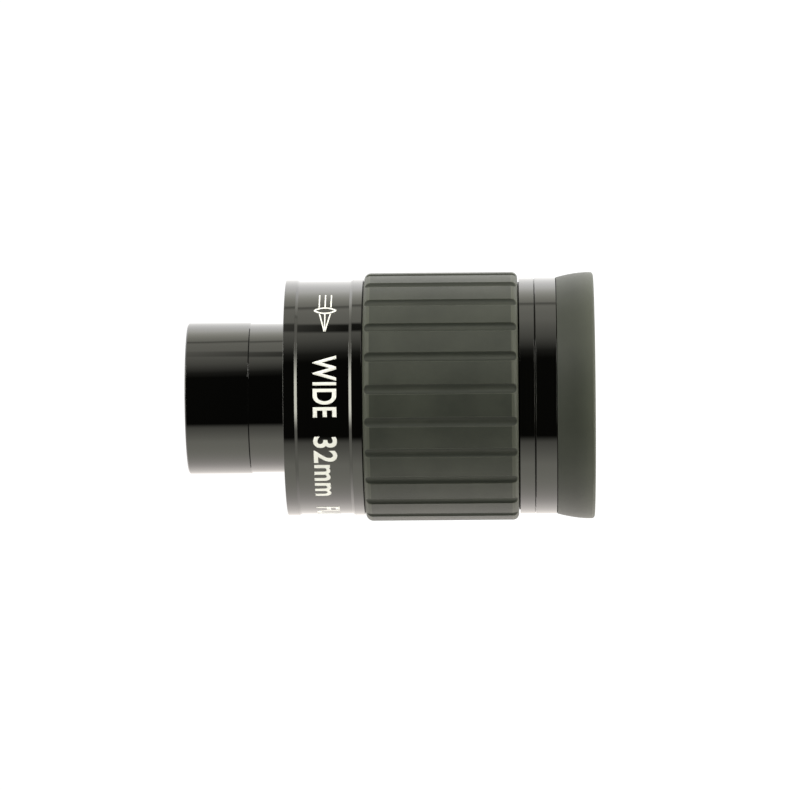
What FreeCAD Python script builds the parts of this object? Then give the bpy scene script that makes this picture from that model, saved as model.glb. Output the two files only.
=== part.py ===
import FreeCAD, Part

# Two-inch telescope eyepiece with a twist-up eyecup, as separate pieces.
# Millimetres. Z is the optical axis and points to the eye; Z = 0 is the open
# end of the barrel. The eyecup is drawn lowered, which is the rest position.

import math
import os

import Sketcher

Vector = FreeCAD.Vector
Rotation = FreeCAD.Rotation
Placement = FreeCAD.Placement
Z_AXIS = Vector(0, 0, 1)
Y_AXIS = Vector(0, 1, 0)

# Driving sizes. "z" names are heights on the optical axis; "r" names are radii.
DIMENSIONS = {
    # barrel
    "barrel_r": 25.4,
    "barrel_relief_r": 25.05,
    "barrel_relief_z": 20.95,
    "barrel_relief_step": 0.3,
    "barrel_seat_z": 33.9,
    "filter_bore_r": 24.0,
    "filter_bore_depth": 6.0,
    "barrel_bore_r": 23.6,
    "barrel_bore_low_z": 6.4,
    "barrel_spigot_r": 24.6,
    "barrel_spigot_top_z": 38.3,
    "edge_break": 0.4,
    "field_stop_r": 22.9,
    "field_stop_low_z": 22.0,
    "field_stop_lip_z": 24.6,
    "field_stop_top_z": 27.0,
    "field_stop_wall_r": 23.2,
    "field_stop_bevel": 0.3,
    # lower housing
    "shoulder_z": 33.3,
    "shoulder_inner_r": 25.6,
    "housing_r": 39.65,
    "label_band_r": 39.15,
    "rim_low_top_z": 37.05,
    "label_low_z": 37.95,
    "label_high_z": 55.0,
    "rim_high_low_z": 55.9,
    "housing_top_z": 59.25,
    "housing_edge": 0.12,
    "housing_floor_z": 45.0,
    "housing_bore_r": 34.5,
    # field lens cell
    "field_cell_r": 29.0,
    "field_cell_low_z": 38.8,
    "field_cell_flange_r": 33.0,
    "field_cell_flange_top_z": 47.5,
    "field_cell_top_z": 54.5,
    "field_cell_lip_r": 23.4,
    "field_cell_seat_z": 40.8,
    "field_cell_bore_r": 25.05,
    "field_lens_r": 25.0,
    "field_front_low_z": 40.135,
    "field_front_curve": 400.0,
    "field_cement_z": 43.6,
    "field_cement_curve": 70.0,
    "field_rear_top_z": 50.0,
    "field_rear_curve": 110.0,
    "field_lock_low_z": 52.9,
    "field_lock_inner_r": 23.6,
    # body tube
    "tube_bearing_r": 36.0,
    "tube_bearing_top_z": 78.0,
    "tube_r": 35.5,
    "tube_top_z": 119.0,
    "tube_bore_r": 30.05,
    "tube_lip_low_z": 100.0,
    "tube_lip_r": 28.5,
    "tube_counterbore_z": 103.0,
    "tube_counterbore_r": 32.0,
    "keyway_floor_r": 33.9,
    "keyway_half_width": 1.63,
    "keyway_end_gap": 0.06,
    # lenses in the tube
    "tube_lens_r": 30.0,
    "mid_low_z": 73.5,
    "mid_low_curve": 200.0,
    "mid_top_z": 83.9,
    "mid_top_curve": 90.0,
    "rear_low_z": 86.5,
    "rear_low_curve": 160.0,
    "rear_cement_z": 89.5,
    "rear_cement_curve": 70.0,
    "rear_top_z": 105.6,
    "rear_top_curve": 75.0,
    "cement_gap": 0.02,
    "tube_ring_inner_r": 28.0,
    "spacer_low_z": 79.46,
    "spacer_top_z": 83.6,
    "tube_lock_low_z": 71.5,
    "tube_lock_top_z": 75.44,
    # eye lens
    "eye_cell_top_z": 118.4,
    "eye_cell_lip_r": 21.5,
    "eye_cell_seat_z": 107.0,
    "eye_cell_bore_r": 23.05,
    "eye_cell_recess_z": 112.7,
    "eye_cell_recess_r": 25.0,
    "eye_cell_dish_z": 117.7,
    "eye_cell_dish_r": 25.8,
    "eye_cell_rim_r": 31.0,
    "eye_cell_edge": 0.25,
    "eye_lens_r": 23.0,
    "eye_lens_low_z": 106.45,
    "eye_lens_low_curve": 400.0,
    "eye_lens_top_z": 117.95,
    "eye_lens_top_curve": 52.0,
    "eye_ring_low_z": 113.2,
    "eye_ring_inner_r": 21.8,
    "eye_ring_cone_z": 114.2,
    "eye_ring_top_z": 118.0,
    "eye_ring_top_r": 24.3,
    # twist ring and grip
    "twist_low_z": 59.55,
    "twist_top_z": 110.88,
    "twist_outer_r": 39.4,
    "twist_bearing_bore_r": 36.05,
    "twist_bore_r": 37.65,
    "helix_floor_r": 38.9,
    "helix_half_height": 1.66,
    "eyecup_lift": 8.0,
    "lead_per_turn": 24.0,
    "helix_run_in": 0.2133,
    "helix_run_in_angle": 3.2,
    "helix_overlap": 0.6,
    "grip_r": 41.7,
    "grip_low_round": 2.25,
    "grip_high_round": 2.0,
    "grip_groove_depth": 0.9,
    "grip_groove_r": 2.05,
    "grip_groove_angle": 11.6,
    "glide_low_thickness": 0.27,
    "glide_low_inner_r": 36.1,
    "glide_low_outer_r": 39.0,
    "glide_high_low_z": 78.03,
    "glide_high_top_z": 78.43,
    "glide_high_inner_r": 35.55,
    "glide_high_outer_r": 37.5,
    "retainer_low_z": 78.45,
    "retainer_top_z": 81.45,
    "retainer_r": 37.4,
    # eyecup
    "sleeve_low_z": 82.3,
    "sleeve_bore_r": 35.55,
    "sleeve_skirt_r": 37.55,
    "ring_a_low_z": 110.98,
    "ring_a_top_z": 116.45,
    "ring_a_r": 39.65,
    "ring_a_neck_r": 38.3,
    "ring_a_neck_height": 0.4,
    "sleeve_thread_r": 37.6,
    "sleeve_top_z": 120.5,
    "ring_b_low_z": 116.5,
    "ring_b_top_z": 123.8,
    "ring_b_r": 39.75,
    "ring_edge": 0.25,
    "guard_foot_z": 120.6,
    "guard_tongue_r": 38.6,
    "guard_tongue_top_z": 122.6,
    "guard_neck_r": 38.0,
    "guard_skirt_z": 123.85,
    "guard_skirt_r": 39.8,
    "guard_r": 41.45,
    "guard_flare_top_z": 133.5,
    "guard_flare_curve": 45.0,
    "guard_top_z": 136.3,
    "guard_lip_r": 38.2,
    "guard_inner_r": 36.0,
    "guard_inner_low_z": 124.5,
    "guard_outer_round": 1.0,
    "guard_inner_round": 1.3,
    # guide pins
    "pin_z": 86.3,
    "pin_r": 1.6,
    "pin_inner_r": 34.2,
    "pin_outer_r": 38.75,
    # cutters
    "cutter_overrun": 1.0,
    "notch_overrun": 0.5,
    "eye_ring_notch_reach": 1.2,
}

PIN_COUNT = 3
GRIP_GROOVES = 24
NOTCH_COUNT = 2
NOTCH_WIDTH = 1.6
NOTCH_DEPTH = 1.0


def make_sheet(doc):
    """Write every driving size into the spreadsheet under its own name."""
    sheet = doc.addObject("Spreadsheet::Sheet", "Dims")
    for row, (name, value) in enumerate(DIMENSIONS.items(), start=1):
        sheet.set(f"A{row}", name)
        sheet.set(f"B{row}", str(value))
        sheet.setAlias(f"B{row}", name)
    doc.recompute()
    return sheet


def terms_of(size):
    """A size is one sheet name, or a tuple of names and signed numbers that add up."""
    return size if isinstance(size, tuple) else (size,)


def value_of(size):
    """The size in millimetres. A name starting with '-' is taken away."""
    total = 0.0
    for term in terms_of(size):
        if not isinstance(term, str):
            total += term
        elif term.startswith("-"):
            total -= DIMENSIONS[term[1:]]
        else:
            total += DIMENSIONS[term]
    return total


def expression_of(size):
    """The same size as an expression on the sheet."""
    words = []
    for term in terms_of(size):
        if not isinstance(term, str):
            words.append(f"{term:+.4f}")
        elif term.startswith("-"):
            words.append(f"- Dims.{term[1:]}")
        else:
            words.append(f"+ Dims.{term}")
    return " ".join(words).lstrip("+ ")


def origin_feature(body, role):
    """The body's own origin plane or axis with this role."""
    for feature in body.Origin.OriginFeatures:
        if feature.Role == role:
            return feature
    raise RuntimeError(f"{body.Label}: no origin feature {role}")


def new_sketch(body, name, role, offset=None):
    """A sketch on one of the body's origin planes, moved along its normal by offset."""
    sketch = body.newObject("Sketcher::SketchObject", name)
    sketch.AttachmentSupport = [(origin_feature(body, role), "")]
    sketch.MapMode = "FlatFace"
    if offset is not None:
        sketch.setExpression("AttachmentOffset.Base.z", expression_of(offset))
    return sketch


def pin_point(sketch, geometry, end, across, up):
    """Hold one sketch point at the two sizes, measured from the sketch's origin."""
    places = (("DistanceX", across, -2), ("DistanceY", up, -1))
    for kind, size, axis in places:
        if size == 0:
            rule = Sketcher.Constraint("PointOnObject", geometry, end, axis)
            sketch.addConstraint(rule)
            continue
        rule = Sketcher.Constraint(kind, -1, 1, geometry, end, value_of(size))
        index = sketch.addConstraint(rule)
        sketch.setExpression(f"Constraints[{index}]", expression_of(size))


def point_value(point):
    """Sketch coordinates of a point given as two sizes; a plain 0 lies on the axis."""
    across, up = point
    first = 0.0 if across == 0 else value_of(across)
    second = 0.0 if up == 0 else value_of(up)
    return Vector(first, second, 0)


def left_arc(start, stop, radius):
    """The short arc from start to stop whose centre lies to the left of the way there."""
    chord = stop - start
    middle = (start + stop) * 0.5
    rise = math.sqrt(radius ** 2 - (chord.Length / 2) ** 2)
    left = Vector(-chord.y, chord.x, 0).normalize()
    centre = middle + left * rise
    first = math.atan2(start.y - centre.y, start.x - centre.x)
    last = math.atan2(stop.y - centre.y, stop.x - centre.x)
    return Part.ArcOfCircle(Part.Circle(centre, Z_AXIS, radius), first, last)


def draw_polygon(sketch, points, flare=None):
    """A closed chain of lines through pairs of sizes; flare curves the first one."""
    count = len(points)
    for index, point in enumerate(points):
        start = point_value(point)
        stop = point_value(points[(index + 1) % count])
        if flare is not None and index == 0:
            sketch.addGeometry(left_arc(start, stop, value_of(flare)), False)
        else:
            sketch.addGeometry(Part.LineSegment(start, stop), False)
    for index in range(count):
        following = (index + 1) % count
        sketch.addConstraint(Sketcher.Constraint("Coincident", index, 2, following, 1))
    if flare is not None:
        rule = sketch.addConstraint(Sketcher.Constraint("Radius", 0, value_of(flare)))
        sketch.setExpression(f"Constraints[{rule}]", expression_of(flare))
    for index, (across, up) in enumerate(points):
        pin_point(sketch, index, 1, across, up)


def draw_circle(sketch, radius, across, up):
    """A full circle with its centre at the two sizes; a plain 0 lies on the axis."""
    centre = point_value((across, up))
    circle = sketch.addGeometry(Part.Circle(centre, Z_AXIS, value_of(radius)), False)
    rule = sketch.addConstraint(Sketcher.Constraint("Radius", circle, value_of(radius)))
    sketch.setExpression(f"Constraints[{rule}]", expression_of(radius))
    pin_point(sketch, circle, 3, across, up)


def revolve(body, sketch, name="turned"):
    """Turn a half section into a solid of revolution about Z."""
    turned = body.newObject("PartDesign::Revolution", name)
    turned.Profile = sketch
    turned.ReferenceAxis = (sketch, ["V_Axis"])
    turned.Angle = 360
    sketch.Visibility = False
    return turned


def turned_part(doc, name, points):
    """A body turned from a closed half section of (radius, height) points."""
    body = doc.addObject("PartDesign::Body", name)
    body.Label = name
    sketch = new_sketch(body, f"{name}_section", "XZ_Plane")
    draw_polygon(sketch, points)
    revolve(body, sketch, f"{name}_turned")
    doc.recompute()
    return body


def repeat_round(doc, body, cut, count, before):
    """Repeat a cut evenly around Z; stop unless every copy takes away as much."""
    doc.recompute()
    single = before - body.Shape.Volume
    pattern = body.newObject("PartDesign::PolarPattern", f"{cut.Name}_pattern")
    pattern.Originals = [cut]
    pattern.Axis = (origin_feature(body, "Z_Axis"), [""])
    pattern.Angle = 360
    pattern.Occurrences = count
    body.Tip = pattern
    doc.recompute()
    removed = before - body.Shape.Volume
    if single < 0.5 or abs(removed - count * single) > 0.02 * removed:
        raise RuntimeError(f"{cut.Label}: one cut {single:.2f}, all cuts {removed:.2f} mm3")


def cut_notches(doc, body, face_z, inner_r, outer_r, upward):
    """Two spanner notches in the flat end face of a threaded ring."""
    volume = body.Shape.Volume
    sketch = new_sketch(body, f"{body.Label}_notch_shape", "XY_Plane", face_z)
    half = NOTCH_WIDTH / 2
    corners = [(inner_r, (-half,)), (outer_r, (-half,)), (outer_r, (half,)), (inner_r, (half,))]
    draw_polygon(sketch, corners)
    notch = body.newObject("PartDesign::Pocket", f"{body.Label}_notch")
    notch.Profile = sketch
    notch.Length = NOTCH_DEPTH
    notch.Reversed = upward
    sketch.Visibility = False
    repeat_round(doc, body, notch, NOTCH_COUNT, volume)


def make_barrel(doc):
    """Push-fit barrel: filter bore at the open end, relief band, threaded spigot."""
    return turned_part(doc, "barrel", [
        (("barrel_r", "-edge_break"), 0),
        ("barrel_r", "edge_break"),
        ("barrel_r", "barrel_relief_z"),
        ("barrel_relief_r", ("barrel_relief_z", "barrel_relief_step")),
        ("barrel_relief_r", "barrel_seat_z"),
        ("barrel_spigot_r", "barrel_seat_z"),
        ("barrel_spigot_r", "barrel_spigot_top_z"),
        ("barrel_bore_r", "barrel_spigot_top_z"),
        ("barrel_bore_r", "barrel_bore_low_z"),
        ("filter_bore_r", "filter_bore_depth"),
        ("filter_bore_r", "edge_break"),
        (("filter_bore_r", "edge_break"), 0),
    ])


def make_field_stop_ring(doc):
    """Threaded ring whose knife-edge lip bounds the field of view."""
    return turned_part(doc, "field_stop_ring", [
        ("barrel_bore_r", "field_stop_low_z"),
        ("barrel_bore_r", "field_stop_top_z"),
        ("field_stop_wall_r", "field_stop_top_z"),
        ("field_stop_wall_r", ("field_stop_lip_z", "field_stop_bevel")),
        ("field_stop_r", "field_stop_lip_z"),
        ("field_stop_wall_r", ("field_stop_lip_z", "-field_stop_bevel")),
        ("field_stop_wall_r", "field_stop_low_z"),
    ])


def make_lower_housing(doc):
    """Lettered housing: two rims with a recessed label band between them."""
    return turned_part(doc, "lower_housing", [
        (("housing_r", "-housing_edge"), "shoulder_z"),
        ("housing_r", ("shoulder_z", "housing_edge")),
        ("housing_r", "rim_low_top_z"),
        ("label_band_r", "label_low_z"),
        ("label_band_r", "label_high_z"),
        ("housing_r", "rim_high_low_z"),
        ("housing_r", ("housing_top_z", "-housing_edge")),
        (("housing_r", "-housing_edge"), "housing_top_z"),
        ("housing_bore_r", "housing_top_z"),
        ("housing_bore_r", "housing_floor_z"),
        ("field_cell_r", "housing_floor_z"),
        ("field_cell_r", "field_cell_low_z"),
        ("barrel_spigot_r", "field_cell_low_z"),
        ("barrel_spigot_r", "barrel_seat_z"),
        ("shoulder_inner_r", "barrel_seat_z"),
        ("shoulder_inner_r", "shoulder_z"),
    ])


def make_field_lens_cell(doc):
    """Flanged cell for the field lenses, clamped by the body tube."""
    return turned_part(doc, "field_lens_cell", [
        ("field_cell_lip_r", "field_cell_low_z"),
        ("field_cell_r", "field_cell_low_z"),
        ("field_cell_r", "housing_floor_z"),
        ("field_cell_flange_r", "housing_floor_z"),
        ("field_cell_flange_r", "field_cell_flange_top_z"),
        ("field_cell_r", "field_cell_flange_top_z"),
        ("field_cell_r", "field_cell_top_z"),
        ("field_cell_bore_r", "field_cell_top_z"),
        ("field_cell_bore_r", "field_cell_seat_z"),
        ("field_cell_lip_r", "field_cell_seat_z"),
    ])


def rim_height(vertex_z, curve, rim_r, centre_above):
    """Height of a spherical face where it meets the lens rim."""
    sag = curve - (curve ** 2 - rim_r ** 2) ** 0.5
    return vertex_z + sag if centre_above else vertex_z - sag


def draw_lens_face(sketch, vertex, curve, rim_r, centre_above):
    """An arc from the optical axis to the rim; returns its index and its two ends."""
    vertex_z = value_of(vertex)
    radius = value_of(curve)
    reach = math.asin(value_of(rim_r) / radius)
    if centre_above:
        circle = Part.Circle(Vector(0, vertex_z + radius, 0), Z_AXIS, radius)
        arc = Part.ArcOfCircle(circle, -math.pi / 2, -math.pi / 2 + reach)
        on_axis, on_rim = 1, 2
    else:
        circle = Part.Circle(Vector(0, vertex_z - radius, 0), Z_AXIS, radius)
        arc = Part.ArcOfCircle(circle, math.pi / 2 - reach, math.pi / 2)
        on_axis, on_rim = 2, 1
    index = sketch.addGeometry(arc, False)
    sketch.addConstraint(Sketcher.Constraint("PointOnObject", index, 3, -2))
    rule = sketch.addConstraint(Sketcher.Constraint("Radius", index, radius))
    sketch.setExpression(f"Constraints[{rule}]", expression_of(curve))
    pin_point(sketch, index, on_axis, 0, vertex)
    return index, on_axis, on_rim


def make_lens(doc, name, rim_r, low, top):
    """A lens. Each face is (vertex height, curve radius, centre above the vertex)."""
    body = doc.addObject("PartDesign::Body", name)
    body.Label = name
    sketch = new_sketch(body, f"{name}_section", "XZ_Plane")
    low_face, low_axis, low_rim = draw_lens_face(sketch, low[0], low[1], rim_r, low[2])
    top_face, top_axis, top_rim = draw_lens_face(sketch, top[0], top[1], rim_r, top[2])
    rim = value_of(rim_r)
    low_rim_z = rim_height(value_of(low[0]), value_of(low[1]), rim, low[2])
    top_rim_z = rim_height(value_of(top[0]), value_of(top[1]), rim, top[2])
    edge = Part.LineSegment(Vector(rim, low_rim_z, 0), Vector(rim, top_rim_z, 0))
    middle = Part.LineSegment(Vector(0, value_of(low[0]), 0), Vector(0, value_of(top[0]), 0))
    edge_line = sketch.addGeometry(edge, False)
    axis_line = sketch.addGeometry(middle, False)
    joins = (
        (edge_line, 1, low_face, low_rim),
        (edge_line, 2, top_face, top_rim),
        (axis_line, 1, low_face, low_axis),
        (axis_line, 2, top_face, top_axis),
    )
    for join in joins:
        sketch.addConstraint(Sketcher.Constraint("Coincident", *join))
    sketch.addConstraint(Sketcher.Constraint("Vertical", edge_line))
    rule = sketch.addConstraint(Sketcher.Constraint("DistanceX", -1, 1, edge_line, 1, rim))
    sketch.setExpression(f"Constraints[{rule}]", expression_of(rim_r))
    revolve(body, sketch, f"{name}_turned")
    doc.recompute()
    return body


def make_field_lenses(doc):
    """Cemented field lens pair and the ring that locks it in its cell."""
    front_top = ("field_cement_z", "-cement_gap")
    front = make_lens(
        doc, "field_lens_front", "field_lens_r",
        ("field_front_low_z", "field_front_curve", True),
        (front_top, "field_cement_curve", True))
    rear = make_lens(
        doc, "field_lens_rear", "field_lens_r",
        ("field_cement_z", "field_cement_curve", True),
        ("field_rear_top_z", "field_rear_curve", True))
    lock = turned_part(doc, "field_lock_ring", [
        ("field_lock_inner_r", "field_lock_low_z"),
        ("field_cell_bore_r", "field_lock_low_z"),
        ("field_cell_bore_r", "field_cell_top_z"),
        ("field_lock_inner_r", "field_cell_top_z"),
    ])
    outer = ("field_cell_bore_r", "notch_overrun")
    inner = ("field_lock_inner_r", "-notch_overrun")
    cut_notches(doc, lock, "field_cell_top_z", inner, outer, False)
    return [front, rear, lock]


def make_body_tube(doc):
    """Fixed inner tube: lens bore, bearing for the twist ring, keyways for the pins."""
    body = turned_part(doc, "body_tube", [
        ("tube_bore_r", "field_cell_flange_top_z"),
        ("housing_bore_r", "field_cell_flange_top_z"),
        ("housing_bore_r", "housing_top_z"),
        ("tube_bearing_r", "housing_top_z"),
        ("tube_bearing_r", "tube_bearing_top_z"),
        ("tube_r", "tube_bearing_top_z"),
        ("tube_r", ("tube_top_z", "-edge_break")),
        (("tube_r", "-edge_break"), "tube_top_z"),
        ("tube_counterbore_r", "tube_top_z"),
        ("tube_counterbore_r", "tube_counterbore_z"),
        ("tube_lip_r", "tube_counterbore_z"),
        ("tube_lip_r", "tube_lip_low_z"),
        ("tube_bore_r", "tube_lip_low_z"),
    ])
    volume = body.Shape.Volume
    start = ("tube_r", "cutter_overrun")
    sketch = new_sketch(body, "keyway_shape", "YZ_Plane", start)
    low = ("pin_z", "-pin_r", "-keyway_end_gap")
    high = ("pin_z", "eyecup_lift", "pin_r", "keyway_end_gap")
    half = ("keyway_half_width",)
    minus_half = ("-keyway_half_width",)
    draw_polygon(sketch, [(minus_half, low), (half, low), (half, high), (minus_half, high)])
    keyway = body.newObject("PartDesign::Pocket", "keyway")
    keyway.Profile = sketch
    keyway.setExpression("Length", expression_of((*start, "-keyway_floor_r")))
    sketch.Visibility = False
    repeat_round(doc, body, keyway, PIN_COUNT, volume)
    return body


def make_tube_lenses(doc):
    """Middle lens, cemented rear pair, the spacer between them and their lock ring."""
    middle = make_lens(
        doc, "mid_lens", "tube_lens_r",
        ("mid_low_z", "mid_low_curve", True),
        ("mid_top_z", "mid_top_curve", False))
    front_top = ("rear_cement_z", "-cement_gap")
    front = make_lens(
        doc, "rear_lens_front", "tube_lens_r",
        ("rear_low_z", "rear_low_curve", False),
        (front_top, "rear_cement_curve", True))
    back = make_lens(
        doc, "rear_lens_back", "tube_lens_r",
        ("rear_cement_z", "rear_cement_curve", True),
        ("rear_top_z", "rear_top_curve", False))
    spacer = turned_part(doc, "lens_spacer", ring_section(
        "tube_ring_inner_r", "tube_bore_r", "spacer_low_z", "spacer_top_z"))
    lock = turned_part(doc, "lens_lock_ring", ring_section(
        "tube_ring_inner_r", "tube_bore_r", "tube_lock_low_z", "tube_lock_top_z"))
    inner = ("tube_ring_inner_r", "-notch_overrun")
    outer = ("tube_bore_r", "notch_overrun")
    cut_notches(doc, lock, "tube_lock_low_z", inner, outer, True)
    return [middle, front, back, spacer, lock]


def ring_section(inner_r, outer_r, low_z, high_z):
    """Corner points of a plain ring's half section."""
    return [(inner_r, low_z), (outer_r, low_z), (outer_r, high_z), (inner_r, high_z)]


def make_eye_end(doc):
    """Eye lens with its cell and the coned ring that holds it from the eye side."""
    cell = turned_part(doc, "eye_lens_cell", [
        ("eye_cell_lip_r", "tube_counterbore_z"),
        ("tube_counterbore_r", "tube_counterbore_z"),
        ("tube_counterbore_r", ("eye_cell_top_z", "-eye_cell_edge")),
        (("tube_counterbore_r", "-eye_cell_edge"), "eye_cell_top_z"),
        ("eye_cell_rim_r", "eye_cell_top_z"),
        ("eye_cell_dish_r", "eye_cell_dish_z"),
        ("eye_cell_recess_r", "eye_cell_dish_z"),
        ("eye_cell_recess_r", "eye_cell_recess_z"),
        ("eye_cell_bore_r", "eye_cell_recess_z"),
        ("eye_cell_bore_r", "eye_cell_seat_z"),
        ("eye_cell_lip_r", "eye_cell_seat_z"),
    ])
    lens = make_lens(
        doc, "eye_lens", "eye_lens_r",
        ("eye_lens_low_z", "eye_lens_low_curve", True),
        ("eye_lens_top_z", "eye_lens_top_curve", False))
    ring = turned_part(doc, "eye_lens_ring", [
        ("eye_ring_inner_r", "eye_ring_low_z"),
        ("eye_cell_recess_r", "eye_ring_low_z"),
        ("eye_cell_recess_r", ("eye_ring_top_z", "-eye_cell_edge")),
        (("eye_cell_recess_r", "-eye_cell_edge"), "eye_ring_top_z"),
        ("eye_ring_top_r", "eye_ring_top_z"),
        ("eye_ring_inner_r", "eye_ring_cone_z"),
    ])
    inner = ("eye_ring_top_r", "-eye_ring_notch_reach")
    outer = ("eye_cell_recess_r", "notch_overrun")
    cut_notches(doc, ring, "eye_ring_top_z", inner, outer, False)
    return [cell, lens, ring]


def make_twist_retention(doc):
    """Glide washers either side of the twist ring and the ring that keeps it on."""
    low = turned_part(doc, "glide_washer_lower", ring_section(
        "glide_low_inner_r", "glide_low_outer_r",
        "housing_top_z", ("housing_top_z", "glide_low_thickness")))
    high = turned_part(doc, "glide_washer_upper", ring_section(
        "glide_high_inner_r", "glide_high_outer_r", "glide_high_low_z", "glide_high_top_z"))
    keeper = turned_part(doc, "twist_retaining_ring", ring_section(
        "tube_r", "retainer_r", "retainer_low_z", "retainer_top_z"))
    inner = ("tube_r", "-notch_overrun")
    outer = ("retainer_r", "notch_overrun")
    cut_notches(doc, keeper, "retainer_top_z", inner, outer, False)
    return [low, high, keeper]


def make_twist_ring(doc):
    """Metal ring under the grip, with three left-hand helical grooves in its bore."""
    body = turned_part(doc, "twist_ring", [
        ("twist_bearing_bore_r", "twist_low_z"),
        ("twist_outer_r", "twist_low_z"),
        ("twist_outer_r", "twist_top_z"),
        ("twist_bore_r", "twist_top_z"),
        ("twist_bore_r", "tube_bearing_top_z"),
        ("twist_bearing_bore_r", "tube_bearing_top_z"),
    ])
    volume = body.Shape.Volume
    sketch = new_sketch(body, "helix_shape", "XZ_Plane")
    turn = Rotation(Y_AXIS, DIMENSIONS["helix_run_in_angle"])
    sketch.AttachmentOffset = Placement(Vector(0, 0, 0), turn)
    low = ("pin_z", "-helix_run_in", "-helix_half_height")
    high = ("pin_z", "-helix_run_in", "helix_half_height")
    inner = ("twist_bore_r", "-helix_overlap")
    draw_polygon(sketch, ring_section(inner, "helix_floor_r", low, high))
    helix = body.newObject("PartDesign::SubtractiveHelix", "helix_groove")
    helix.Profile = sketch
    helix.ReferenceAxis = (sketch, ["V_Axis"])
    helix.Mode = 0
    helix.setExpression("Pitch", expression_of("lead_per_turn"))
    helix.setExpression("Height", expression_of(("eyecup_lift", "helix_run_in", "helix_run_in")))
    helix.LeftHanded = True
    sketch.Visibility = False
    repeat_round(doc, body, helix, PIN_COUNT, volume)
    return body


def make_rubber_grip(doc):
    """Rubber sleeve with rounded ends and round-bottomed lengthwise grooves."""
    body = turned_part(doc, "rubber_grip", ring_section(
        "twist_outer_r", "grip_r", "twist_low_z", "twist_top_z"))
    round_edge(doc, body, "grip_r", "twist_low_z", "grip_low_round")
    round_edge(doc, body, "grip_r", "twist_top_z", "grip_high_round")
    volume = body.Shape.Volume
    start = ("twist_top_z", "cutter_overrun")
    sketch = new_sketch(body, "grip_groove_shape", "XY_Plane", start)
    draw_circle(sketch, "grip_groove_r", ("grip_r", "grip_groove_r", "-grip_groove_depth"), 0)
    groove = body.newObject("PartDesign::Pocket", "grip_groove")
    groove.Profile = sketch
    groove.setExpression("Length", expression_of((*start, "-twist_low_z", "cutter_overrun")))
    sketch.Visibility = False
    repeat_round(doc, body, groove, GRIP_GROOVES, volume)
    turn = Rotation(Z_AXIS, DIMENSIONS["grip_groove_angle"])
    body.Placement = Placement(Vector(0, 0, 0), turn)
    return body


def make_eyecup_sleeve(doc):
    """Sliding sleeve: skirt inside the twist ring, ring A, thread for ring B."""
    body = turned_part(doc, "eyecup_sleeve", [
        ("sleeve_bore_r", "sleeve_low_z"),
        ("sleeve_skirt_r", "sleeve_low_z"),
        ("sleeve_skirt_r", "ring_a_low_z"),
        ("ring_a_neck_r", "ring_a_low_z"),
        ("ring_a_neck_r", ("ring_a_low_z", "ring_a_neck_height")),
        ("ring_a_r", ("ring_a_low_z", "ring_a_neck_height")),
        ("ring_a_r", ("ring_a_top_z", "-ring_edge")),
        (("ring_a_r", "-ring_edge"), "ring_a_top_z"),
        ("sleeve_thread_r", "ring_a_top_z"),
        ("sleeve_thread_r", "sleeve_top_z"),
        ("sleeve_bore_r", "sleeve_top_z"),
    ])
    volume = body.Shape.Volume
    start = ("sleeve_skirt_r", "cutter_overrun")
    sketch = new_sketch(body, "pin_hole_shape", "YZ_Plane", start)
    draw_circle(sketch, "pin_r", 0, "pin_z")
    hole = body.newObject("PartDesign::Pocket", "pin_hole")
    hole.Profile = sketch
    hole.setExpression("Length", expression_of((*start, "-sleeve_bore_r", "cutter_overrun")))
    sketch.Visibility = False
    repeat_round(doc, body, hole, PIN_COUNT, volume)
    return body


def make_guide_pins(doc):
    """Three radial pins fixed in the sleeve; they ride in the keyways and the helices."""
    pins = []
    for index in range(PIN_COUNT):
        pin = doc.addObject("Part::Cylinder", f"guide_pin_{index + 1}")
        pin.setExpression("Radius", expression_of("pin_r"))
        pin.setExpression("Height", expression_of(("pin_outer_r", "-pin_inner_r")))
        around = Rotation(Z_AXIS, 360.0 * index / PIN_COUNT)
        outward = Rotation(Y_AXIS, 90)
        start = Vector(DIMENSIONS["pin_inner_r"], 0, DIMENSIONS["pin_z"])
        pin.Placement = Placement(around.multVec(start), around.multiply(outward))
        pins.append(pin)
    group = doc.addObject("Part::Compound", "guide_pins")
    group.Label = "guide_pins"
    group.Links = pins
    doc.recompute()
    return group


def make_eyecup_ring(doc):
    """Ring B: screws on the sleeve and clamps the eye guard by its tongue."""
    return turned_part(doc, "eyecup_ring", [
        ("sleeve_thread_r", "ring_b_low_z"),
        (("ring_b_r", "-ring_edge"), "ring_b_low_z"),
        ("ring_b_r", ("ring_b_low_z", "ring_edge")),
        ("ring_b_r", ("ring_b_top_z", "-ring_edge")),
        (("ring_b_r", "-ring_edge"), "ring_b_top_z"),
        ("guard_neck_r", "ring_b_top_z"),
        ("guard_neck_r", "guard_tongue_top_z"),
        ("guard_tongue_r", "guard_tongue_top_z"),
        ("guard_tongue_r", "guard_foot_z"),
        ("sleeve_thread_r", "guard_foot_z"),
    ])


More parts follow.
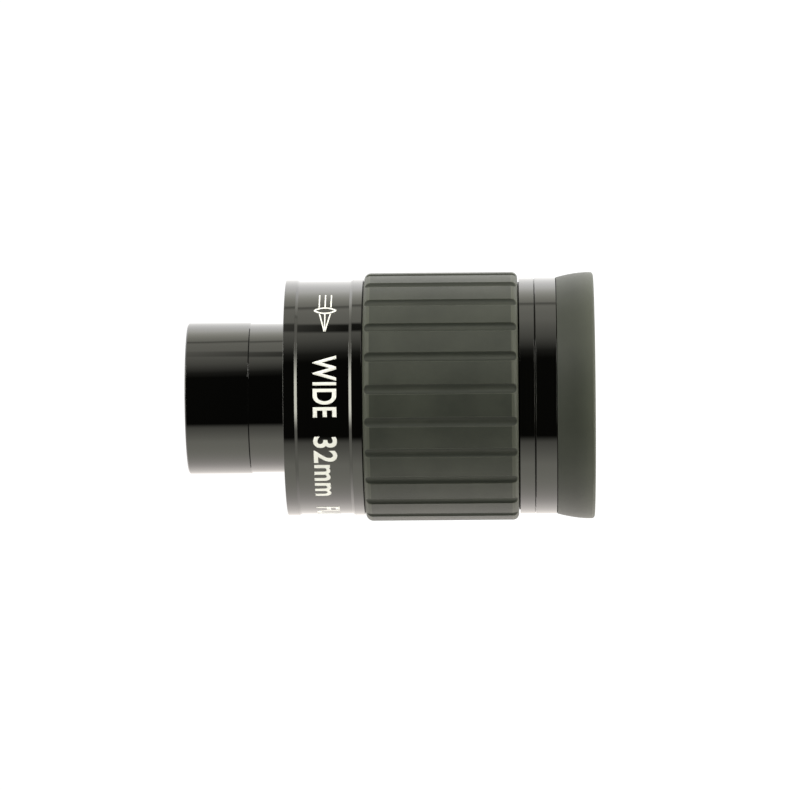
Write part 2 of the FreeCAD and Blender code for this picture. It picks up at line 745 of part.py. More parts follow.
def make_eye_guard(doc):
    """Rubber cup: tongue held in ring B, flared outer wall, open conical inside."""
    name = "eye_guard"
    body = doc.addObject("PartDesign::Body", name)
    body.Label = name
    sketch = new_sketch(body, "eye_guard_section", "XZ_Plane")
    points = [
        ("guard_skirt_r", "guard_skirt_z"),
        ("guard_r", "guard_flare_top_z"),
        ("guard_r", "guard_top_z"),
        ("guard_lip_r", "guard_top_z"),
        ("guard_inner_r", "guard_inner_low_z"),
        ("guard_inner_r", "guard_foot_z"),
        ("guard_tongue_r", "guard_foot_z"),
        ("guard_tongue_r", "guard_tongue_top_z"),
        ("guard_neck_r", "guard_tongue_top_z"),
        ("guard_neck_r", "guard_skirt_z"),
    ]
    draw_polygon(sketch, points, flare="guard_flare_curve")
    revolve(body, sketch, "eye_guard_turned")
    doc.recompute()
    round_edge(doc, body, "guard_r", "guard_top_z", "guard_outer_round")
    round_edge(doc, body, "guard_lip_r", "guard_top_z", "guard_inner_round")
    return body


def round_edge(doc, body, edge_r, edge_z, round_r):
    """Round the circular edge of this radius at this height."""
    names = []
    for number, edge in enumerate(body.Shape.Edges, start=1):
        if not isinstance(edge.Curve, Part.Circle):
            continue
        right_radius = abs(edge.Curve.Radius - value_of(edge_r)) < 0.01
        right_height = abs(edge.Curve.Center.z - value_of(edge_z)) < 0.01
        if right_radius and right_height:
            names.append(f"Edge{number}")
    if len(names) != 1:
        raise RuntimeError(f"{body.Label}: {len(names)} edges match")
    base = body.Tip
    fillet = body.newObject("PartDesign::Fillet", f"{body.Label}_round_{edge_r}")
    fillet.Base = (base, names)
    fillet.setExpression("Radius", expression_of(round_r))
    body.Tip = fillet
    doc.recompute()


def build(doc):
    """Make every sub-part, in the order they are screwed together."""
    pieces = [make_barrel(doc), make_field_stop_ring(doc), make_lower_housing(doc)]
    pieces.append(make_field_lens_cell(doc))
    pieces.extend(make_field_lenses(doc))
    pieces.append(make_body_tube(doc))
    pieces.extend(make_tube_lenses(doc))
    pieces.extend(make_eye_end(doc))
    pieces.extend(make_twist_retention(doc))
    pieces.append(make_twist_ring(doc))
    pieces.append(make_rubber_grip(doc))
    pieces.append(make_eyecup_sleeve(doc))
    pieces.append(make_guide_pins(doc))
    pieces.append(make_eyecup_ring(doc))
    pieces.append(make_eye_guard(doc))
    return pieces


def check_features(doc):
    """Stop if any feature failed to recompute."""
    for feature in doc.Objects:
        if "Invalid" in feature.State or "Error" in feature.State:
            raise RuntimeError(f"{feature.Label}: {feature.State}")


def check_pieces(pieces):
    """Stop if a piece is empty, broken, or not the number of solids it should be."""
    for piece in pieces:
        shape = piece.Shape
        if shape.isNull() or not shape.isValid():
            raise RuntimeError(f"{piece.Label}: no valid shape")
        expected = PIN_COUNT if piece.Label == "guide_pins" else 1
        if len(shape.Solids) != expected:
            raise RuntimeError(f"{piece.Label}: {len(shape.Solids)} solids")


def main():
    doc = FreeCAD.newDocument("eyepiece")
    make_sheet(doc)
    pieces = build(doc)
    doc.recompute()
    check_features(doc)
    check_pieces(pieces)
    os.makedirs("parts", exist_ok=True)
    for piece in pieces:
        piece.Shape.exportStep(f"parts/{piece.Label}.step")
        print(piece.Label, round(piece.Shape.Volume, 1))


main()
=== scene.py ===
import math

import bmesh
import bpy
from mathutils import Matrix, Vector


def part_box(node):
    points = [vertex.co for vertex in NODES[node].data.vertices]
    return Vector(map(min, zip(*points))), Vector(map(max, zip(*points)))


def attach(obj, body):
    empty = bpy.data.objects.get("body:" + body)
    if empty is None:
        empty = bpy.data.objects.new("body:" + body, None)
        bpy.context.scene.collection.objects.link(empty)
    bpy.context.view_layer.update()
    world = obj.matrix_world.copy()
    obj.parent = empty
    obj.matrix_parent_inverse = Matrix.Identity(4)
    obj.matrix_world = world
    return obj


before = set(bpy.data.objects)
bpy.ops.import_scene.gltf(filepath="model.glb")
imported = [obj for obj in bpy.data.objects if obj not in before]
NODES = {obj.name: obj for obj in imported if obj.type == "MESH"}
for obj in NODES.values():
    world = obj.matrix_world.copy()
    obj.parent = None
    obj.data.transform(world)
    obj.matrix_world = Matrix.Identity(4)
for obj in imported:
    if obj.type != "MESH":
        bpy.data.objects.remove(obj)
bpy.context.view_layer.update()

# Looks of a two-inch telescope eyepiece. Metres. Z is the optical axis, the barrel
# stands on the floor at Z = 0, and the camera looks along +Y from the front.

MM = 0.001
MICRON = 1e-6
UP = Vector((0.0, 0.0, 1.0))


# ---------------------------------------------------------------- node helpers

def add(tree, kind, inputs=None, **settings):
    """A shader node; inputs maps a socket name or number to a value or an output."""
    made = tree.nodes.new(kind)
    for key, value in settings.items():
        setattr(made, key, value)
    for key, value in (inputs or {}).items():
        plug(tree, made, key, value)
    return made


def plug(tree, target, key, value):
    """Set a socket, or link it when the value is another node's output."""
    socket = target.inputs[key]
    if isinstance(value, bpy.types.NodeSocket):
        tree.links.new(value, socket)
    else:
        socket.default_value = value


def math_node(tree, operation, first, second=0.0, clamp=False):
    return add(tree, "ShaderNodeMath", {0: first, 1: second}, operation=operation,
               use_clamp=clamp).outputs[0]


def plus(tree, first, second, clamp=False):
    return math_node(tree, "ADD", first, second, clamp)


def minus(tree, first, second):
    return math_node(tree, "SUBTRACT", first, second)


def times(tree, first, second):
    return math_node(tree, "MULTIPLY", first, second)


def remap(tree, value, low, high, to_low, to_high):
    """Linear map of a value, held at both ends."""
    made = add(tree, "ShaderNodeMapRange", {
        "Value": value, "From Min": low, "From Max": high,
        "To Min": to_low, "To Max": to_high})
    return made.outputs["Result"]


def mix_colour(tree, factor, first, second, clamp=True):
    return add(tree, "ShaderNodeMix", {0: factor, 6: first, 7: second},
               data_type="RGBA", clamp_factor=clamp).outputs[2]


def mix_value(tree, factor, first, second):
    return add(tree, "ShaderNodeMix", {0: factor, 2: first, 3: second},
               data_type="FLOAT").outputs[0]


def object_point(tree):
    """The surface point in the object's own coordinates, in metres."""
    return add(tree, "ShaderNodeTexCoord").outputs["Object"]


def split_point(tree, point):
    """X, Y and Z of a point."""
    return add(tree, "ShaderNodeSeparateXYZ", {0: point}).outputs


def height_of(tree):
    """Height on the optical axis, in metres."""
    return split_point(tree, object_point(tree))[2]


def axis_distance(tree, x, y):
    """Distance from the optical axis."""
    flat = add(tree, "ShaderNodeCombineXYZ", {0: x, 1: y, 2: 0.0}).outputs[0]
    return add(tree, "ShaderNodeVectorMath", {0: flat}, operation="LENGTH").outputs["Value"]


def noise(tree, scale, detail=2.0, rough=0.5, point=None):
    """Plain 3-D noise in object space; scale is cycles per metre."""
    made = add(tree, "ShaderNodeTexNoise", {
        "Vector": point or object_point(tree), "Scale": scale, "Detail": detail,
        "Roughness": rough})
    return made.outputs["Fac"]


def turned_noise(tree, across, around=12.0):
    """Noise drawn out around the Z axis, as a lathe leaves it, on walls and end faces."""
    x, y, z = split_point(tree, object_point(tree))
    along = plus(tree, z, axis_distance(tree, x, y))
    place = add(tree, "ShaderNodeCombineXYZ", {
        0: times(tree, x, around), 1: times(tree, y, around),
        2: times(tree, along, across)}).outputs[0]
    return noise(tree, 1.0, 3.0, 0.6, place)


def rounded_normal(tree, radius):
    """The surface normal as if edges were rounded to this radius."""
    return add(tree, "ShaderNodeBevel", {"Radius": radius}, samples=6).outputs[0]


def edge_mask(tree, radius):
    """1 on edges sharper than the radius, 0 on flats."""
    plain = add(tree, "ShaderNodeNewGeometry").outputs["Normal"]
    facing = add(tree, "ShaderNodeVectorMath", {0: rounded_normal(tree, radius), 1: plain},
                 operation="DOT_PRODUCT").outputs["Value"]
    return remap(tree, facing, 1.0, 0.86, 0.0, 1.0)


def new_material(name, colour, roughness, ior=1.5):
    """A Principled material with its uniform values set; returns it with its tree."""
    material = bpy.data.materials.new(name)
    material.use_nodes = True
    tree = material.node_tree
    shader = tree.nodes["Principled BSDF"]
    shader.inputs["Base Color"].default_value = (*colour, 1.0)
    shader.inputs["Roughness"].default_value = roughness
    shader.inputs["IOR"].default_value = ior
    return material, tree, shader


def add_bump(tree, shader, height, distance, normal=None):
    """Relief of this height in metres, on top of another normal if one is given."""
    bump = add(tree, "ShaderNodeBump", {"Height": height, "Distance": distance,
                                        "Strength": 1.0})
    if normal is not None:
        plug(tree, bump, "Normal", normal)
    plug(tree, shader, "Normal", bump.outputs[0])


# ------------------------------------------------------------------- materials

def gloss_black(name, streak, haze, edge_radius, painted_shade_below=None):
    """Polished black anodising: lathe streaks show as a faint change of gloss."""
    sharpest = 0.02
    material, tree, shader = new_material(name, (0.0006, 0.0006, 0.0005), 0.03)
    lines = turned_noise(tree, 9000.0)
    smudge = noise(tree, 60.0, 3.0)
    rough = plus(tree, remap(tree, lines, 0.35, 0.75, sharpest, sharpest + streak),
                 remap(tree, smudge, 0.5, 0.8, 0.0, haze))
    # Painted shade: below this height the surface turns metallic with a near-black base, so
    # it reflects almost nothing, and rougher, for the narrow gap under ring A.
    if painted_shade_below is not None:
        shaded_neck = math_node(tree, "LESS_THAN", height_of(tree), painted_shade_below)
        plug(tree, shader, "Metallic", shaded_neck)
        rough = math_node(tree, "MAXIMUM", rough, times(tree, shaded_neck, 0.6))
    plug(tree, shader, "Roughness", rough)
    add_bump(tree, shader, lines, 0.4 * MICRON, rounded_normal(tree, edge_radius))
    return material


def satin_black(name, roughness, ridge, level=0.012):
    """Anodised inside surface with fine anti-reflection turning."""
    material, tree, shader = new_material(name, (level, level, level), roughness)
    lines = turned_noise(tree, 3500.0, 8.0)
    shade = remap(tree, lines, 0.3, 0.7, 0.6, 1.5)
    tint = add(tree, "ShaderNodeVectorMath", {0: (level, level, level), 3: shade},
               operation="SCALE").outputs[0]
    plug(tree, shader, "Base Color", tint)
    plug(tree, shader, "Roughness",
         remap(tree, lines, 0.2, 0.8, roughness - 0.06, roughness + 0.08))
    add_bump(tree, shader, lines, ridge)
    return material


def grip_zones(tree, radius, low, high, corner, band):
    """Masks for the grip: its plain end bands and the line where they end, both painted
    paler as a painted highlight, and the groove flanks.

    The grip's skin without its grooves is a cylinder with rounded ends; how far a
    point is sunk below that skin tells a groove from the rest.
    """
    x, y, height = split_point(tree, object_point(tree))
    from_end = math_node(tree, "MINIMUM", minus(tree, height, low),
                         minus(tree, high, height))
    in_corner = math_node(tree, "MAXIMUM", minus(tree, corner, from_end), 0.0)
    left = minus(tree, corner * corner, times(tree, in_corner, in_corner))
    skin = plus(tree, radius - corner,
                math_node(tree, "SQRT", math_node(tree, "MAXIMUM", left, 0.0)))
    sunk = minus(tree, skin, axis_distance(tree, x, y))
    raised = remap(tree, sunk, 0.14 * MM, 0.30 * MM, 1.0, 0.0)
    # Painted highlight: the raised skin of each end band, lighter as if the rounded ends
    # caught the light.
    inside = times(tree, raised, math_node(tree, "LESS_THAN", from_end, band))
    off_line = math_node(tree, "ABSOLUTE", minus(tree, from_end, band))
    # Painted highlight: a pale line where each end band meets the grooved panels.
    line = times(tree, raised, remap(tree, off_line, 0.10 * MM, 0.24 * MM, 1.0, 0.0))
    flank = times(tree, remap(tree, sunk, 0.14 * MM, 0.30 * MM, 0.0, 1.0),
                  remap(tree, sunk, 0.60 * MM, 0.82 * MM, 1.0, 0.0))
    return inside, line, flank


def rubber(name, dark, pale, grain, edge_radius, grip=None, paler_to_rim=None):
    """Moulded rubber: fine grain, a dusty bloom, and edges painted paler, partly as edge
    wear and partly as a painted highlight.
    """
    material, tree, shader = new_material(name, dark, 0.62)
    shader.inputs["Specular IOR Level"].default_value = 0.34
    shader.inputs["Sheen Weight"].default_value = 0.04
    shader.inputs["Sheen Roughness"].default_value = 0.35
    cloud = noise(tree, 55.0, 4.0, 0.6)
    speck = noise(tree, 2600.0, 3.0, 0.7)
    bloom = times(tree, remap(tree, cloud, 0.3, 0.75, 0.0, 0.5),
                  remap(tree, speck, 0.3, 0.75, 0.5, 1.0))
    # Edges are painted paler: partly edge wear, partly a painted highlight where the
    # rounded edges catch the light.
    edge_wear_and_highlight = times(tree, edge_mask(tree, edge_radius), 0.75)
    amount = plus(tree, bloom, edge_wear_and_highlight, clamp=True)
    if grip is not None:
        inside, line, flank = grip_zones(tree, *grip)
        # The groove flanks keep the dark colour: no bloom and no painted edge highlight on
        # them.
        amount = times(tree, amount, minus(tree, 1.0, flank))
        # Painted highlight on the end bands and on the line where they end.
        amount = plus(tree, amount, times(tree, inside, 0.55))
        amount = plus(tree, amount, times(tree, line, 0.5), clamp=True)
    # The guard grows paler towards its rim.
    if paler_to_rim is not None:
        climb = remap(tree, height_of(tree), *paler_to_rim, 0.0, 1.0)
        amount = plus(tree, amount, math_node(tree, "POWER", climb, 1.6))
    plug(tree, shader, "Base Color",
         mix_colour(tree, amount, (*dark, 1.0), (*pale, 1.0), clamp=False))
    plug(tree, shader, "Roughness", remap(tree, speck, 0.25, 0.8, 0.48, 0.64))
    add_bump(tree, shader, speck, grain, rounded_normal(tree, 0.2 * MM))
    return material


def metal(name, colour, roughness, across):
    """Bare metal with turning marks."""
    material, tree, shader = new_material(name, colour, roughness)
    shader.inputs["Metallic"].default_value = 1.0
    lines = turned_noise(tree, across)
    plug(tree, shader, "Roughness",
         remap(tree, lines, 0.2, 0.8, roughness * 0.7, roughness * 1.4))
    add_bump(tree, shader, lines, 1.5 * MICRON)
    return material


def plastic(name, colour):
    """Low-friction washer plastic, a little uneven."""
    material, tree, shader = new_material(name, colour, 0.45)
    shader.inputs["Specular IOR Level"].default_value = 0.05
    cloud = noise(tree, 300.0, 3.0)
    pale = [1.2 * part for part in colour]
    plug(tree, shader, "Base Color", mix_colour(tree, cloud, (*colour, 1.0), (*pale, 1.0)))
    add_bump(tree, shader, noise(tree, 4000.0), 4 * MICRON)
    return material


def coated_glass(name):
    """Clear glass with an anti-reflection film (in nanometres) and a trace of dust."""
    material, tree, shader = new_material(name, (0.97, 0.99, 0.97), 0.0, 1.6)
    shader.inputs["Transmission Weight"].default_value = 1.0
    shader.inputs["Thin Film Thickness"].default_value = 115.0
    shader.inputs["Thin Film IOR"].default_value = 1.38
    dust = noise(tree, 5000.0, 2.0, 0.6)
    plug(tree, shader, "Roughness", remap(tree, dust, 0.68, 0.78, 0.0, 0.05))
    return material


def paint(name):
    """Cream lettering paint, slightly uneven where it was printed."""
    material, tree, shader = new_material(name, (0.68, 0.68, 0.67), 0.5)
    patch = noise(tree, 1500.0, 3.0)
    plug(tree, shader, "Base Color",
         mix_colour(tree, patch, (0.64, 0.64, 0.63, 1.0), (0.72, 0.72, 0.71, 1.0)))
    add_bump(tree, shader, noise(tree, 6000.0), 3 * MICRON)
    return material


RING_A_NECK_TOP = 111.36 * MM     # below this height ring A's narrow neck is painted shade: near-black and unreflecting, for the gap
GRIP_END_ROUND = 2.1 * MM
GRIP_END_BAND = 2.05 * MM         # plain length at each end of the grip
GUARD_PALE_RISE = 7.3 * MM            # the guard grows paler over this height, up to its rim


def make_materials():
    """The finish of every material slot, by the slot's name."""
    grip_low, grip_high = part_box("rubber_grip")
    guard_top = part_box("eye_guard")[1].z
    return {
        "black_anodised_barrel": gloss_black(
            "barrel_gloss", streak=0.02, haze=0.03, edge_radius=0.15 * MM),
        "gloss_black_housing": gloss_black(
            "housing_gloss", streak=0.01, haze=0.02, edge_radius=0.10 * MM),
        "gloss_black_ring_a": gloss_black(
            "ring_a_gloss", streak=0.06, haze=0.03, edge_radius=0.10 * MM,
            painted_shade_below=RING_A_NECK_TOP),
        "gloss_black_ring_b": gloss_black(
            "ring_b_gloss", streak=0.03, haze=0.03, edge_radius=0.10 * MM),
        "black_anodised_inner": satin_black("inner_satin", 0.42, 8 * MICRON),
        "black_anodised_eye_end": satin_black("eye_end_satin", 0.36, 5 * MICRON, 0.010),
        "bare_aluminium": metal("turned_aluminium", (0.80, 0.80, 0.79), 0.25, 5000.0),
        "pin_steel": metal("ground_steel", (0.56, 0.56, 0.55), 0.18, 8000.0),
        "glide_plastic": plastic("washer_plastic", (0.010, 0.010, 0.010)),
        "coated_glass": coated_glass("lens_glass"),
        "grip_rubber": rubber(
            "grip_rubber_finish", dark=(0.0120, 0.0144, 0.0110),
            pale=(0.046, 0.050, 0.039), grain=18 * MICRON, edge_radius=0.35 * MM,
            grip=(grip_high.x, grip_low.z, grip_high.z, GRIP_END_ROUND, GRIP_END_BAND)),
        "guard_rubber": rubber(
            "guard_rubber_finish", dark=(0.0135, 0.0160, 0.0122),
            pale=(0.040, 0.044, 0.034), grain=12 * MICRON, edge_radius=0.35 * MM,
            paler_to_rim=(guard_top - GUARD_PALE_RISE, guard_top)),
    }


def finish_nodes(materials):
    """Give every CAD node the finish of its material slot."""
    for node in NODES.values():
        slot = node.material_slots[0]
        slot.material = materials[slot.material.name]


# -------------------------------------------------------------- object helpers

def new_object(name, data):
    """A new object in the scene that shows this mesh, curve, lamp or camera."""
    made = bpy.data.objects.new(name, data)
    bpy.context.scene.collection.objects.link(made)
    return made


def mesh_of(form, name):
    """The finished mesh of a bmesh, which is freed."""
    mesh = bpy.data.meshes.new(name)
    form.to_mesh(mesh)
    form.free()
    return mesh


# ------------------------------------------------------- lettering on the band

BAND_R = 39.15 * MM
CAP_LOW = 43.1 * MM               # height of the letters' lower edge
CAP_HEIGHT = 7.85 * MM
PAINT_RAISE = 0.03 * MM
PAINT_SINK = 0.02 * MM
LETTER_WEIGHT = 0.22 * MM         # the strokes are thickened by this much on each side
LETTER_SPACING = 1.06
FONT_CAP = 0.729                  # cap height of the built-in font at size 1

SYMBOL_START = -60.5              # degrees round the band; 0 faces the camera
WORDS = (                         # piece, text, start and spread in degrees
    ("field_word", "WIDE", -20.6, 30.3),
    ("focal_length", "32mm", 19.3, 37.3),
    ("coating_word", "FULLY COATED", 69.0, 88.0),
)


def flat_word(text):
    """A word as a flat mesh, with its baseline on y = 0 and a cap height of CAP_HEIGHT."""
    curve = bpy.data.curves.new("word", "FONT")
    curve.body = text
    curve.size = CAP_HEIGHT / FONT_CAP
    curve.offset = LETTER_WEIGHT
    curve.space_character = LETTER_SPACING
    curve.resolution_u = 10
    curve.fill_mode = "BOTH"
    holder = new_object("word", curve)
    bpy.context.view_layer.update()
    depsgraph = bpy.context.evaluated_depsgraph_get()
    mesh = bpy.data.meshes.new_from_object(holder.evaluated_get(depsgraph))
    bpy.data.objects.remove(holder)
    return mesh


def fit_to_box(mesh, width, height):
    """Stretch a flat mesh to this width and height, with its corner at the origin."""
    xs = [v.co.x for v in mesh.vertices]
    ys = [v.co.y for v in mesh.vertices]
    left, right, bottom, top = min(xs), max(xs), min(ys), max(ys)
    for v in mesh.vertices:
        v.co.x = (v.co.x - left) / (right - left) * width
        v.co.y = (v.co.y - bottom) / (top - bottom) * height
    return mesh


def stroke(form, path, width):
    """A flat line of constant width through the points of the path."""
    sides = []
    for index, point in enumerate(path):
        before = path[max(index - 1, 0)]
        after = path[min(index + 1, len(path) - 1)]
        way = (Vector(after) - Vector(before)).normalized()
        across = Vector((-way.y, way.x)) * width / 2
        sides.append([form.verts.new((point[0] + side.x, point[1] + side.y, 0.0))
                      for side in (across, -across)])
    for first, second in zip(sides, sides[1:]):
        form.faces.new((first[0], first[1], second[1], second[0]))


def arc_points(centre, radius, first, last, count):
    """Points on an arc between two angles in degrees."""
    points = []
    for index in range(count + 1):
        angle = math.radians(first + (last - first) * index / count)
        points.append((centre[0] + radius * math.cos(angle),
                       centre[1] + radius * math.sin(angle)))
    return points


def lens_symbol():
    """A plain sign for a lens: its outline, and three rays that meet behind it."""
    form = bmesh.new()
    line, ray = 0.62 * MM, 0.434 * MM
    half = CAP_HEIGHT / 2
    radius = 5.6 * MM
    middle, focus = 9.0 * MM, 18.2 * MM
    reach = math.degrees(math.asin((half - line / 2) / radius))
    bulge = radius - radius * math.cos(math.radians(reach))
    stroke(form, arc_points((middle + radius - bulge, half), radius,
                            180 - reach, 180 + reach, 16), line)
    stroke(form, arc_points((middle - radius + bulge, half), radius, -reach, reach, 16),
           line)
    clear = bulge + 0.3 * MM
    for height in (-0.5, 0.0, 0.5):
        level = half + height * half
        stroke(form, [(0.0, level), (middle - clear, level)], ray)
        stroke(form, [(middle + clear, half + height * half * 0.92),
                      (focus, half + height * 0.3 * MM)], ray)
    return mesh_of(form, "symbol")


def wrap_on_band(mesh, name, start_degrees, material):
    """Slice a flat mesh finely, give it paint thickness and bend it round the band."""
    form = bmesh.new()
    form.from_mesh(mesh)
    width = max(v.co.x for v in form.verts)
    step = 0.6 * MM
    for index in range(1, int(width / step) + 1):
        geometry = form.verts[:] + form.edges[:] + form.faces[:]
        bmesh.ops.bisect_plane(form, geom=geometry, plane_co=(index * step, 0, 0),
                               plane_no=(1, 0, 0))
    bmesh.ops.remove_doubles(form, verts=form.verts, dist=1e-7)
    bmesh.ops.recalc_face_normals(form, faces=form.faces)
    grown = bmesh.ops.extrude_face_region(form, geom=form.faces[:])
    for element in grown["geom"]:
        if isinstance(element, bmesh.types.BMVert):
            element.co.z = 1.0      # marks the top layer until it is bent
    for v in form.verts:
        radius = BAND_R + (PAINT_RAISE if v.co.z > 0.5 else -PAINT_SINK)
        angle = math.radians(start_degrees) + v.co.x / BAND_R
        v.co = Vector((radius * math.sin(angle), -radius * math.cos(angle),
                       CAP_LOW + v.co.y))
    bmesh.ops.recalc_face_normals(form, faces=form.faces)
    form.to_mesh(mesh)
    form.free()
    mesh.materials.clear()
    mesh.materials.append(material)
    piece = new_object(name, mesh)
    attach(piece, "optics_body")


def make_lettering():
    cream = paint("lettering_cream")
    wrap_on_band(lens_symbol(), "lens_symbol", SYMBOL_START, cream)
    for name, text, start, spread in WORDS:
        flat = fit_to_box(flat_word(text), math.radians(spread) * BAND_R, CAP_HEIGHT)
        wrap_on_band(flat, name, start, cream)


# ---------------------------------------------------------------- filter thread

def make_filter_thread(material):
    """Helical ridge in the filter bore, 0.75 mm pitch, fading in and out."""
    root, crest = 24.0 * MM, 23.6 * MM
    buried = root + 0.03 * MM
    pitch = 0.75 * MM
    low, high = 0.5 * MM, 5.9 * MM
    steps_per_turn, fade_steps = 90, 12
    total = int((high - low - pitch) / pitch * steps_per_turn)
    form = bmesh.new()
    rows = []
    for index in range(total + 1):
        angle = 2 * math.pi * index / steps_per_turn
        base = low + pitch * index / steps_per_turn
        fade = min(1.0, index / fade_steps, (total - index) / fade_steps)
        tip = root - (root - crest) * fade
        profile = ((buried, 0.0), (tip, 0.42 * pitch), (tip, 0.54 * pitch),
                   (buried, 0.96 * pitch))
        rows.append([form.verts.new((radius * math.cos(angle), radius * math.sin(angle),
                                     base + rise)) for radius, rise in profile])
    for first, second in zip(rows, rows[1:]):
        for side in range(4):
            other = (side + 1) % 4
            form.faces.new((first[side], first[other], second[other], second[side]))
    form.faces.new(rows[0][::-1])
    form.faces.new(rows[-1])
    bmesh.ops.recalc_face_normals(form, faces=form.faces)
    mesh = mesh_of(form, "filter_thread_ridge")
    mesh.materials.append(material)
    piece = new_object("filter_thread_ridge", mesh)
    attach(piece, "optics_body")


# ------------------------------------------------------------ camera and studio

AIM = Vector((-0.6, 0.0, 69.4)) * MM
CAMERA_DISTANCE = 1.619
CAMERA_ELEVATION = math.radians(1.32)
CAMERA_ROLL = math.radians(0.50)
FOCAL_LENGTH, SENSOR_WIDTH = 218.8, 36.0    # millimetres

SOFTBOX_AZIMUTH, SOFTBOX_ELEVATION = -47, 30
SOFTBOX_DISTANCE = 1.2
SOFTBOX_SIZE = 0.45
SOFTBOX_RADIANCE = 8.3


def make_camera():
    """A level view of the front, rolled so that the optical axis lies across the frame."""
    back = Vector((0.0, -math.cos(CAMERA_ELEVATION), math.sin(CAMERA_ELEVATION)))
    view = -back
    level_right = (UP - view * UP.dot(view)).normalized()
    level_up = back.cross(level_right)
    cos, sin = math.cos(CAMERA_ROLL), math.sin(CAMERA_ROLL)
    right = level_right * cos - level_up * sin
    up = level_right * sin + level_up * cos
    data = bpy.data.cameras.new("camera")
    data.lens = FOCAL_LENGTH
    data.sensor_width = SENSOR_WIDTH
    data.clip_end = 100.0
    camera = new_object("camera", data)
    place = Matrix((right, up, back)).transposed().to_4x4()
    place.translation = AIM + back * CAMERA_DISTANCE
    camera.matrix_world = place
    bpy.context.scene.camera = camera


def towards(azimuth, elevation):
    """Unit vector; azimuth 0 is the camera's side and grows towards +X, in degrees."""
    turn, rise = math.radians(azimuth), math.radians(elevation)
    return Vector((math.cos(rise) * math.sin(turn), -math.cos(rise) * math.cos(turn),
                   math.sin(rise)))


def make_softbox(name, azimuth, elevation):
    """A square softbox aimed at the middle of the object."""
    data = bpy.data.lights.new(name, "AREA")
    data.shape = "SQUARE"
    data.size = SOFTBOX_SIZE
    data.energy = 4 * SOFTBOX_SIZE * SOFTBOX_SIZE * SOFTBOX_RADIANCE
    data.color = (1.0, 0.99, 0.90)
    back = towards(azimuth, elevation)
    right = UP.cross(back).normalized()
    place = Matrix((right, back.cross(right), back)).transposed().to_4x4()
    place.translation = AIM + back * SOFTBOX_DISTANCE
    new_object(name, data).matrix_world = place


def ramp_round(tree, angle, stops, brightest):
    """Radiance round the tent from a few (degrees, radiance) stops, up to the brightest."""
    place = remap(tree, angle, -math.pi, math.pi, 0.0, 1.0)
    ramp = add(tree, "ShaderNodeValToRGB", {0: place})
    elements = ramp.color_ramp.elements
    while len(elements) > 1:
        elements.remove(elements[-1])
    for index, (degrees, radiance) in enumerate(stops):
        position = (degrees + 180) / 360
        element = elements[0] if index == 0 else elements.new(position)
        element.position = position
        level = radiance / brightest
        element.color = (level, level, level, 1.0)
    return times(tree, ramp.outputs[0], brightest)


def smooth_step(tree, angle, low, high):
    """0 below the low angle and 1 above the high one, both in degrees."""
    made = add(tree, "ShaderNodeMapRange", {
        "Value": angle, "From Min": math.radians(low), "From Max": math.radians(high),
        "To Min": 0.0, "To Max": 1.0}, interpolation_type="SMOOTHSTEP")
    return made.outputs["Result"]


def soft_band(tree, angle, low, low_full, high_full, high):
    """1 in a band of angles with soft edges, 0 outside it, in degrees."""
    return minus(tree, smooth_step(tree, angle, low, low_full),
                 smooth_step(tree, angle, high_full, high))


def tent_walls(tree, azimuth, rise):
    """Radiance of the tent: bright walls, a dark opening in front and a thin dark pole."""
    back, corner, left_wall, right_wall = 1.2, 3.2, 2.1, 2.5
    pole, opening, roof, brightest = 0.8, 0.03, 0.85, 4.0
    # The left wall's front edge leans forward towards the floor.
    lean = remap(tree, rise, math.radians(-3.6), math.radians(-1.8),
                 math.radians(-6.0), 0.0)
    lean = times(tree, lean, smooth_step(tree, times(tree, azimuth, -1.0), 20, 35))
    wall = ramp_round(tree, plus(tree, azimuth, lean), (
        (-180, back), (-130, corner), (-104, left_wall), (-102, pole), (-98, left_wall),
        (-80, left_wall), (-60, 1.25), (-45, 0.2), (-37, opening), (40, opening),
        (46, 1.2), (70, right_wall), (135, right_wall), (180, back)), brightest)
    # The walls are dimmer higher up and lower down, less so behind the object.
    height = math_node(tree, "ABSOLUTE", rise)
    side = math_node(tree, "ABSOLUTE", azimuth)
    fall = remap(tree, side, math.radians(90), math.radians(125), 0.60, 0.10)
    fall = times(tree, fall, smooth_step(tree, height, 8, 20))
    wall = times(tree, wall, minus(tree, 1.0, fall))
    return mix_value(tree, smooth_step(tree, height, 33, 44), wall,
                     math_node(tree, "MAXIMUM", wall, roof))


def tent_glows(tree, x, front, z):
    """Bright strips above and below the opening, which the bevelled edges catch.

    They are placed by the direction half-way between a ray and the camera's side,
    because that is the slope of the bevel that reflects them.
    """
    forward = plus(tree, front, 1.0)
    turn = math_node(tree, "ARCTAN2", x, forward)
    length = math_node(tree, "SQRT", times(tree, forward, 2.0))
    slope = math_node(tree, "ARCSINE", math_node(
        tree, "DIVIDE", math_node(tree, "ABSOLUTE", z), length))
    core = times(tree, soft_band(tree, turn, -25, -5, 5, 17), 11.0)
    spread = remap(tree, math_node(tree, "ABSOLUTE", turn), math.radians(25),
                   math.radians(80), 1.0, 0.0)
    hoop = times(tree, plus(tree, core, spread), soft_band(tree, slope, 26, 27, 31, 32))
    above = times(tree, soft_band(tree, slope, 38, 42, 49, 53),
                  math_node(tree, "GREATER_THAN", z, 0.0))
    over_opening = times(tree, soft_band(tree, turn, -30, -18, 22, 34), 5.0)
    return plus(tree, hoop, times(tree, above, over_opening))


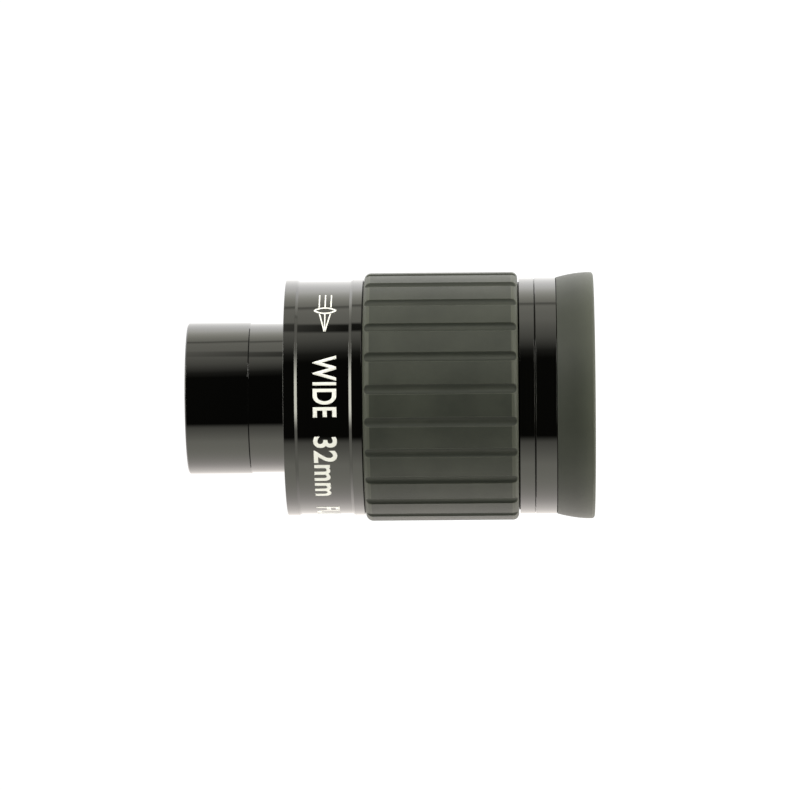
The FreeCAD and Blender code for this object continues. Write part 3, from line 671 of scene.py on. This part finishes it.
def make_light_tent():
    """Soft, slightly yellow light, whiter at the back left and warmer at the back right.

    The camera sees plain white behind the object instead of the tent.
    """
    world = bpy.data.worlds.new("light_tent")
    bpy.context.scene.world = world
    world.use_nodes = True
    tree = world.node_tree
    tree.nodes.clear()
    x, y, z = split_point(tree, add(tree, "ShaderNodeTexCoord").outputs["Generated"])
    front = times(tree, y, -1.0)
    azimuth = math_node(tree, "ARCTAN2", x, front)
    rise = math_node(tree, "ARCSINE", z)
    radiance = plus(tree, tent_walls(tree, azimuth, rise), tent_glows(tree, x, front, z))
    left_back = smooth_step(tree, times(tree, azimuth, -1.0), 105, 140)
    right_back = smooth_step(tree, azimuth, 80, 130)
    tint = mix_colour(tree, left_back, (1.0, 0.99, 0.86, 1.0), (1.0, 0.99, 0.97, 1.0))
    tint = mix_colour(tree, right_back, tint, (1.0, 0.94, 0.89, 1.0))
    soft = add(tree, "ShaderNodeBackground", {"Color": tint, "Strength": radiance})
    plain = add(tree, "ShaderNodeBackground", {"Color": (1, 1, 1, 1), "Strength": 1.1})
    seen = add(tree, "ShaderNodeLightPath").outputs["Is Camera Ray"]
    either = add(tree, "ShaderNodeMixShader", {0: seen, 1: soft.outputs[0],
                                               2: plain.outputs[0]})
    add(tree, "ShaderNodeOutputWorld", {0: either.outputs[0]})


def make_dark_card():
    """A dark card at the left, seen only as a narrow gap in the gloss.

    It is nearly solid at the top and in the middle, and fades to its sides and its foot.
    """
    solid_half, half_width = 0.035, 0.065
    low, solid_from, high = -0.045, 0.034, 0.052
    middle = towards(-70.1, 0) * 0.6
    across = UP.cross(middle).normalized()
    form = bmesh.new()
    form.faces.new([form.verts.new(middle + across * side * half_width + UP * z)
                    for side, z in ((-1, low), (1, low), (1, high), (-1, high))])
    mesh = mesh_of(form, "dark_card")
    material, tree, shader = new_material("card_black", (0.002, 0.002, 0.002), 0.9)
    shader.inputs["Specular IOR Level"].default_value = 0.0
    along = add(tree, "ShaderNodeVectorMath", {0: object_point(tree), 1: across},
                operation="DOT_PRODUCT").outputs["Value"]
    body = remap(tree, math_node(tree, "ABSOLUTE", along), solid_half, half_width, 1.0, 0.0)
    density = remap(tree, height_of(tree), low, solid_from, 0.15, 0.93)
    plug(tree, shader, "Alpha", times(tree, body, density))
    mesh.materials.append(material)
    card = new_object("dark_card", mesh)
    card.visible_camera = False
    card.visible_diffuse = False
    card.visible_shadow = False


def make_floor():
    """A pale floor, lit from beneath like a light table."""
    half, level = 8.0, -0.05 * MM
    form = bmesh.new()
    corners = ((-half, -half), (half, -half), (half, half), (-half, half))
    form.faces.new([form.verts.new((x, y, level)) for x, y in corners])
    mesh = mesh_of(form, "floor")
    material = bpy.data.materials.new("light_table")
    material.use_nodes = True
    tree = material.node_tree
    tree.nodes.clear()
    glow = add(tree, "ShaderNodeEmission", {"Color": (1, 1, 1, 1), "Strength": 1.05})
    add(tree, "ShaderNodeOutputMaterial", {0: glow.outputs[0]})
    mesh.materials.append(material)
    floor = new_object("floor", mesh)
    floor.visible_diffuse = False
    floor.visible_glossy = False
    floor.visible_transmission = False
    floor.visible_shadow = False


# ------------------------------------------------------------------------ build

bpy.context.scene.view_settings.view_transform = "Standard"
make_camera()
make_light_tent()
make_softbox("softbox_eye_side", SOFTBOX_AZIMUTH, SOFTBOX_ELEVATION)
make_softbox("softbox_barrel_side", SOFTBOX_AZIMUTH, -SOFTBOX_ELEVATION)
make_dark_card()
make_floor()
finishes = make_materials()
finish_nodes(finishes)
make_lettering()
make_filter_thread(finishes["black_anodised_barrel"])
